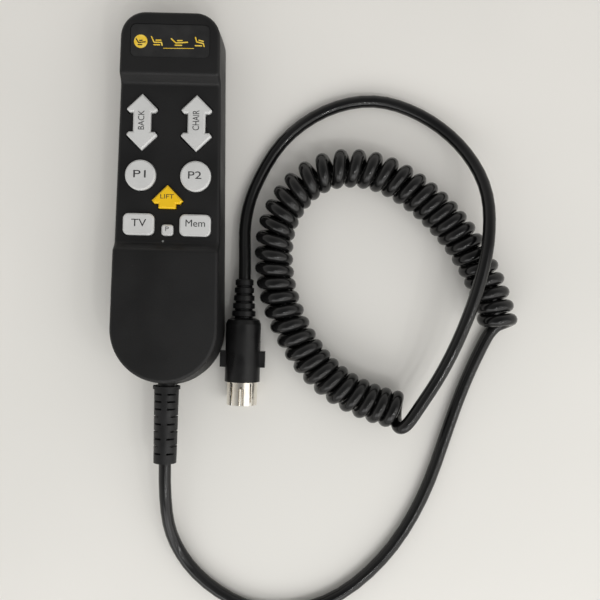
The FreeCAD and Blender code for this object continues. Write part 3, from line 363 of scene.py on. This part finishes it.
def chair_outlines(position, corner, size, width):
    """The three strokes of one small chair, with its lower left corner and its size in metres."""
    strokes = (CHAIRS[position], CHAIR_REST[position], CHAIR_BASE[position])
    return [brush_stroke([(corner[0] + x * size[0], corner[1] + y * size[1]) for x, y in stroke], width)
            for stroke in strokes]


badge_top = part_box("badge_plate")[1].z
DISC_AT, DISC_RADIUS = (-0.01226, 0.06567), 0.0028
disc = []
for degrees in range(0, 360, 6):
    around = math.radians(degrees)
    disc.append((DISC_AT[0] + DISC_RADIUS * math.cos(around), DISC_AT[1] + DISC_RADIUS * math.sin(around)))
inked("badge_disc", [disc], badge_top, gold_ink)
DISC_CHAIR = chair_outlines("reclined", (-0.0142, 0.0640), (0.0038, 0.0034), 0.0005)
inked("badge_disc_chair", DISC_CHAIR, badge_top + INK, badge_film)
FIRST_CHAIR, CHAIR_STEP, CHAIR_SIZE, STROKE = (-0.0082, 0.0641), 0.0087, (0.0068, 0.0037), 0.0005
chair_row = []
for i, position in enumerate(CHAIRS):
    corner = (FIRST_CHAIR[0] + CHAIR_STEP * i, FIRST_CHAIR[1])
    chair_row += chair_outlines(position, corner, CHAIR_SIZE, STROKE)
UNDERLINE, UNDERLINE_WIDTH = [(-0.0027, 0.0630), (0.0099, 0.0632)], 0.00024
chair_row.append(brush_stroke(UNDERLINE, UNDERLINE_WIDTH))
inked("badge_chairs", chair_row, badge_top, gold_ink)


# ------------------------------------------------------------------ cord boot
# The slotted rubber boot that keeps the cord from kinking where it leaves the handset.
# It is moulded on the cord. Its neck sits in a slot in the front shell's end wall, with a flange inside.
boot_rubber = new_finish("boot_rubber", (0.0055, 0.0055, 0.0058), 0.45, Specular_IOR_Level=0.3)
tint(boot_rubber, cloud(boot_rubber, 0.004, 4), (0.010, 0.010, 0.0105))
shine(boot_rubber, cloud(boot_rubber, 0.003, 5), 0.36, 0.54)
relief(boot_rubber, cells(boot_rubber, 0.0003, "SMOOTH_F1"), 0.00002)
coat(boot_rubber, "cord_boot")


# ------------------------------------------------------------------ curly cord
# One length of five-core cord in glossy black PVC, 5.4 mm thick: a straight lead from the handset,
# about 41 close turns wound on a mandrel and heat set, and a straight lead to the plug.
CORD = 0.0054
TURN_RADIUS = 0.0058
TURNS = 41 + 75 / 360
POINTS_A_TURN = 16
HEADING_REACH = 0.009  # metres on each side over which the coil's heading and bend are taken
HANDSET_LEAD = [
    (0.0, -0.1123, 0.012), (0.0, -0.129, 0.012), (0.003, -0.150, 0.004),
    (0.017, -0.168, 0.00275), (0.042, -0.181, 0.00275), (0.072, -0.1765, 0.00275),
    (0.097, -0.156, 0.00275), (0.114, -0.128, 0.00275), (0.1245, -0.0945, 0.00275),
    (0.1289, -0.0814, 0.00275), (0.1334, -0.0698, 0.00275), (0.1390, -0.0576, 0.00275),
    (0.1409, -0.0542, 0.00275), (0.1421, -0.0525, 0.00275), (0.1434, -0.0510, 0.00272),
]
COIL_MIDDLE = [
    (0.144, -0.050, 0.00855), (0.1408, -0.0365, 0.00855), (0.1288, -0.014, 0.00855),
    (0.111, 0.005, 0.00855), (0.0885, 0.0182, 0.00855), (0.063, 0.0168, 0.00855),
    (0.0458, -0.0028, 0.00855), (0.0442, -0.029, 0.00855), (0.0524, -0.0532, 0.00855),
    (0.067, -0.0735, 0.00855), (0.088, -0.0855, 0.00855), (0.102, -0.088, 0.00855),
]
PLUG_LEAD = [
    (0.1007, -0.0949, 0.0098), (0.1020, -0.0952, 0.0124), (0.1045, -0.0931, 0.0141),
    (0.1092, -0.0858, 0.0143), (0.118, -0.0715, 0.0155), (0.1257, -0.0535, 0.019),
    (0.1328, -0.0315, 0.0212), (0.1365, -0.010, 0.0212), (0.1361, 0.011, 0.014),
    (0.1262, 0.030, 0.006), (0.109, 0.0435, 0.0030), (0.088, 0.050, 0.00275),
    (0.066, 0.045, 0.00275), (0.0465, 0.0305, 0.00275), (0.0345, 0.008, 0.0029),
    (0.0313, -0.008, 0.0046), (0.0323, -0.022, 0.0077), (0.0323, -0.032, 0.0077),
]


def smooth_line(name, points):
    """One open NURBS line with these points."""
    line = bpy.data.curves.new(name, "CURVE")
    line.dimensions = "3D"
    spline = line.splines.new("NURBS")
    spline.points.add(len(points) - 1)
    for knot, place in zip(spline.points, points):
        knot.co = (*place, 1)
    spline.order_u = 3
    spline.use_endpoint_u = True
    return bpy.data.objects.new(name, line)


middle_line = smooth_line("coil_middle", COIL_MIDDLE)
middle_line.data.resolution_u = 32
middle_mesh = bpy.data.meshes.new_from_object(middle_line)
middle = [point.co.copy() for point in middle_mesh.vertices]
bpy.data.objects.remove(middle_line)
run = [0.0]
for here, there in zip(middle, middle[1:]):
    run.append(run[-1] + (there - here).length)


def along_coil(distance):
    """The point at this distance along the coil's middle line."""
    distance = min(max(distance, 0), run[-1])
    last = max(i for i, r in enumerate(run) if r <= distance)
    last = min(last, len(run) - 2)
    share = (distance - run[last]) / (run[last + 1] - run[last])
    return middle[last].lerp(middle[last + 1], share)


def heading(distance):
    """The coil's direction here, taken over a short length on both sides."""
    ahead, behind = along_coil(distance + HEADING_REACH), along_coil(distance - HEADING_REACH)
    return (ahead - behind).normalized()


# The turns crowd a little less where the coil bends, and lie looser in some places than in others.
STEPS = 400
angle_at = [0.0]
for step in range(STEPS):
    spot = (step + 0.5) / STEPS * run[-1]
    turned = heading(spot + HEADING_REACH) - heading(spot - HEADING_REACH)
    bend = turned.length / (2 * HEADING_REACH)
    loose = 1 + 0.05 * math.sin(0.9 + spot * 71) + 0.035 * math.sin(2.1 + spot * 163)
    angle_at.append(angle_at[-1] + (1 - TURN_RADIUS * bend) / loose)
whole = angle_at[-1]
angle_at = [a / whole * TURNS * 2 * math.pi for a in angle_at]

# The line cuts the corners between its points, so the points stand a little outside the turn's radius.
START_ANGLE = math.radians(190)
TRUE_RADIUS = TURN_RADIUS / (0.75 + 0.25 * math.cos(2 * math.pi / POINTS_A_TURN))
turns = []
for i in range(int(TURNS * POINTS_A_TURN) + 1):
    angle = i / POINTS_A_TURN * 2 * math.pi
    step = max(k for k, a in enumerate(angle_at) if a <= angle + 1e-9)
    step = min(step, STEPS - 1)
    share = (angle - angle_at[step]) / (angle_at[step + 1] - angle_at[step])
    spot = (step + share) / STEPS * run[-1]
    forward = heading(spot)
    left = Vector((-forward.y, forward.x, 0)).normalized()
    round_to = math.cos(angle + START_ANGLE) * Vector((0, 0, 1)) + math.sin(angle + START_ANGLE) * left
    turns.append(tuple(along_coil(spot) + TRUE_RADIUS * round_to))

cord = smooth_line("curly_cord", HANDSET_LEAD + turns + PLUG_LEAD)
cord.data.resolution_u = 4
cord.data.bevel_depth = CORD / 2
cord.data.bevel_resolution = 5
cord.data.use_fill_caps = True
scene.collection.objects.link(cord)

glossy_pvc = new_finish("glossy_pvc", (0.004, 0.004, 0.0042), 0.17, Specular_IOR_Level=0.34)
tint(glossy_pvc, cloud(glossy_pvc, 0.012, 4), (0.008, 0.008, 0.008))
tint(glossy_pvc, cells(glossy_pvc, 0.003), (0.08, 0.08, 0.075), (0.05, 0.02), 0.3)
shine(glossy_pvc, cloud(glossy_pvc, 0.006, 6), 0.12, 0.22)
relief(glossy_pvc, cloud(glossy_pvc, 0.0012, 3), 0.00003, 0.4)
cord.data.materials.append(glossy_pvc)
coat(glossy_pvc, "cord_tail", "plug_cable")
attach(cord, "root")
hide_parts("cord_lead_handset", "cord_coil", "cord_lead_plug")


# ------------------------------------------------------------------ plug
# A moulded-on five-pin connector: ribbed strain relief and body in PVC over a nickel-plated shell,
# with the pins held in a black insert.
plug_pvc = new_finish("plug_pvc", (0.004, 0.004, 0.0042), 0.38, Specular_IOR_Level=0.3)
tint(plug_pvc, cloud(plug_pvc, 0.005, 4), (0.008, 0.008, 0.0083))
shine(plug_pvc, cloud(plug_pvc, 0.004, 5), 0.27, 0.45)
relief(plug_pvc, cloud(plug_pvc, 0.0007, 3), 0.00003, 0.6)
coat(plug_pvc, "plug_strain_relief", "plug_body")

nickel = new_finish("nickel", (0.88, 0.84, 0.76), 0.2, Metallic=1.0)
tint(nickel, cloud(nickel, 0.004, 5), (0.76, 0.70, 0.60), (0.45, 0.75))
shine(nickel, cloud(nickel, 0.0015, 5), 0.16, 0.28)
relief(nickel, cloud(nickel, 0.0012, 2), 0.000004, 0.3)
coat(nickel, "plug_shell", "plug_pins")

insert_plastic = new_finish("insert_plastic", (0.015, 0.015, 0.016), 0.5)
tint(insert_plastic, cloud(insert_plastic, 0.001), (0.03, 0.03, 0.03))
relief(insert_plastic, cloud(insert_plastic, 0.0002), 0.00001)
coat(insert_plastic, "plug_insert")


# ------------------------------------------------------------------ table, light and camera
# A plain matt pale table top, lit by the room, two broad soft lights and three small bright lamps that
# give the glossy cord its fine highlights. The camera looks straight down on it.
paper = new_finish("paper", (0.83, 0.815, 0.78), 0.6)
tint(paper, cloud(paper, 0.12, 3), (0.79, 0.78, 0.745))
relief(paper, cloud(paper, 0.0006), 0.00002)
ground = bpy.data.meshes.new("table")
EDGE = 3  # metres from the middle
corners = [(-EDGE, -EDGE, 0), (EDGE, -EDGE, 0), (EDGE, EDGE, 0), (-EDGE, EDGE, 0)]
ground.from_pydata(corners, [], [(0, 1, 2, 3)])
ground.materials.append(paper)
table = bpy.data.objects.new("table", ground)
scene.collection.objects.link(table)

room = bpy.data.worlds.new("room")
room.use_nodes = True
sky_nodes, sky_links = room.node_tree.nodes, room.node_tree.links
toward = sky_nodes.new("ShaderNodeTexCoord")
parts = sky_nodes.new("ShaderNodeSeparateXYZ")
walls_to_ceiling = sky_nodes.new("ShaderNodeValToRGB")
walls_to_ceiling.color_ramp.elements[0].position = 0.15
walls_to_ceiling.color_ramp.elements[0].color = (0.80, 0.78, 0.75, 1)
walls_to_ceiling.color_ramp.elements[1].position = 0.95
walls_to_ceiling.color_ramp.elements[1].color = (0.20, 0.20, 0.20, 1)
sky_links.new(toward.outputs["Generated"], parts.inputs["Vector"])
sky_links.new(parts.outputs["Z"], walls_to_ceiling.inputs["Fac"])
sky_links.new(walls_to_ceiling.outputs["Color"], sky_nodes["Background"].inputs["Color"])
sky_nodes["Background"].inputs["Strength"].default_value = 1.2
scene.world = room


def lamp(name, place, size, power, colour=(1, 1, 1), aim=(0.06, -0.04, 0)):
    light = bpy.data.lights.new(name, "AREA")
    light.shape = "RECTANGLE"
    light.size, light.size_y = size
    light.energy = power
    light.color = colour
    holder = bpy.data.objects.new(name, light)
    holder.location = place
    holder.rotation_euler = (Vector(place) - Vector(aim)).to_track_quat("Z", "Y").to_euler()
    scene.collection.objects.link(holder)


lamp("soft_side", (1.1, -1.1, 1.25), (2.4, 2.4), 20, (1, 0.985, 0.96))
lamp("soft_front", (-0.1, -1.2, 0.75), (1.4, 0.6), 5)
lamp("lamp_one", (0.55, -0.62, 1.0), (0.05, 0.03), 0.8)
lamp("lamp_two", (0.25, -0.66, 1.1), (0.05, 0.03), 0.6)
lamp("lamp_three", (0.85, -0.45, 0.9), (0.05, 0.03), 0.5)

lens = bpy.data.cameras.new("camera")
lens.lens = 45.42
lens.sensor_width = 36
lens.clip_start = 0.01
camera = bpy.data.objects.new("camera", lens)
camera.location = (0.0568, -0.0406, 0.340)
camera.rotation_euler = (0, 0, math.radians(1.4))
scene.collection.objects.link(camera)
scene.camera = camera
scene.view_settings.view_transform = "Standard"
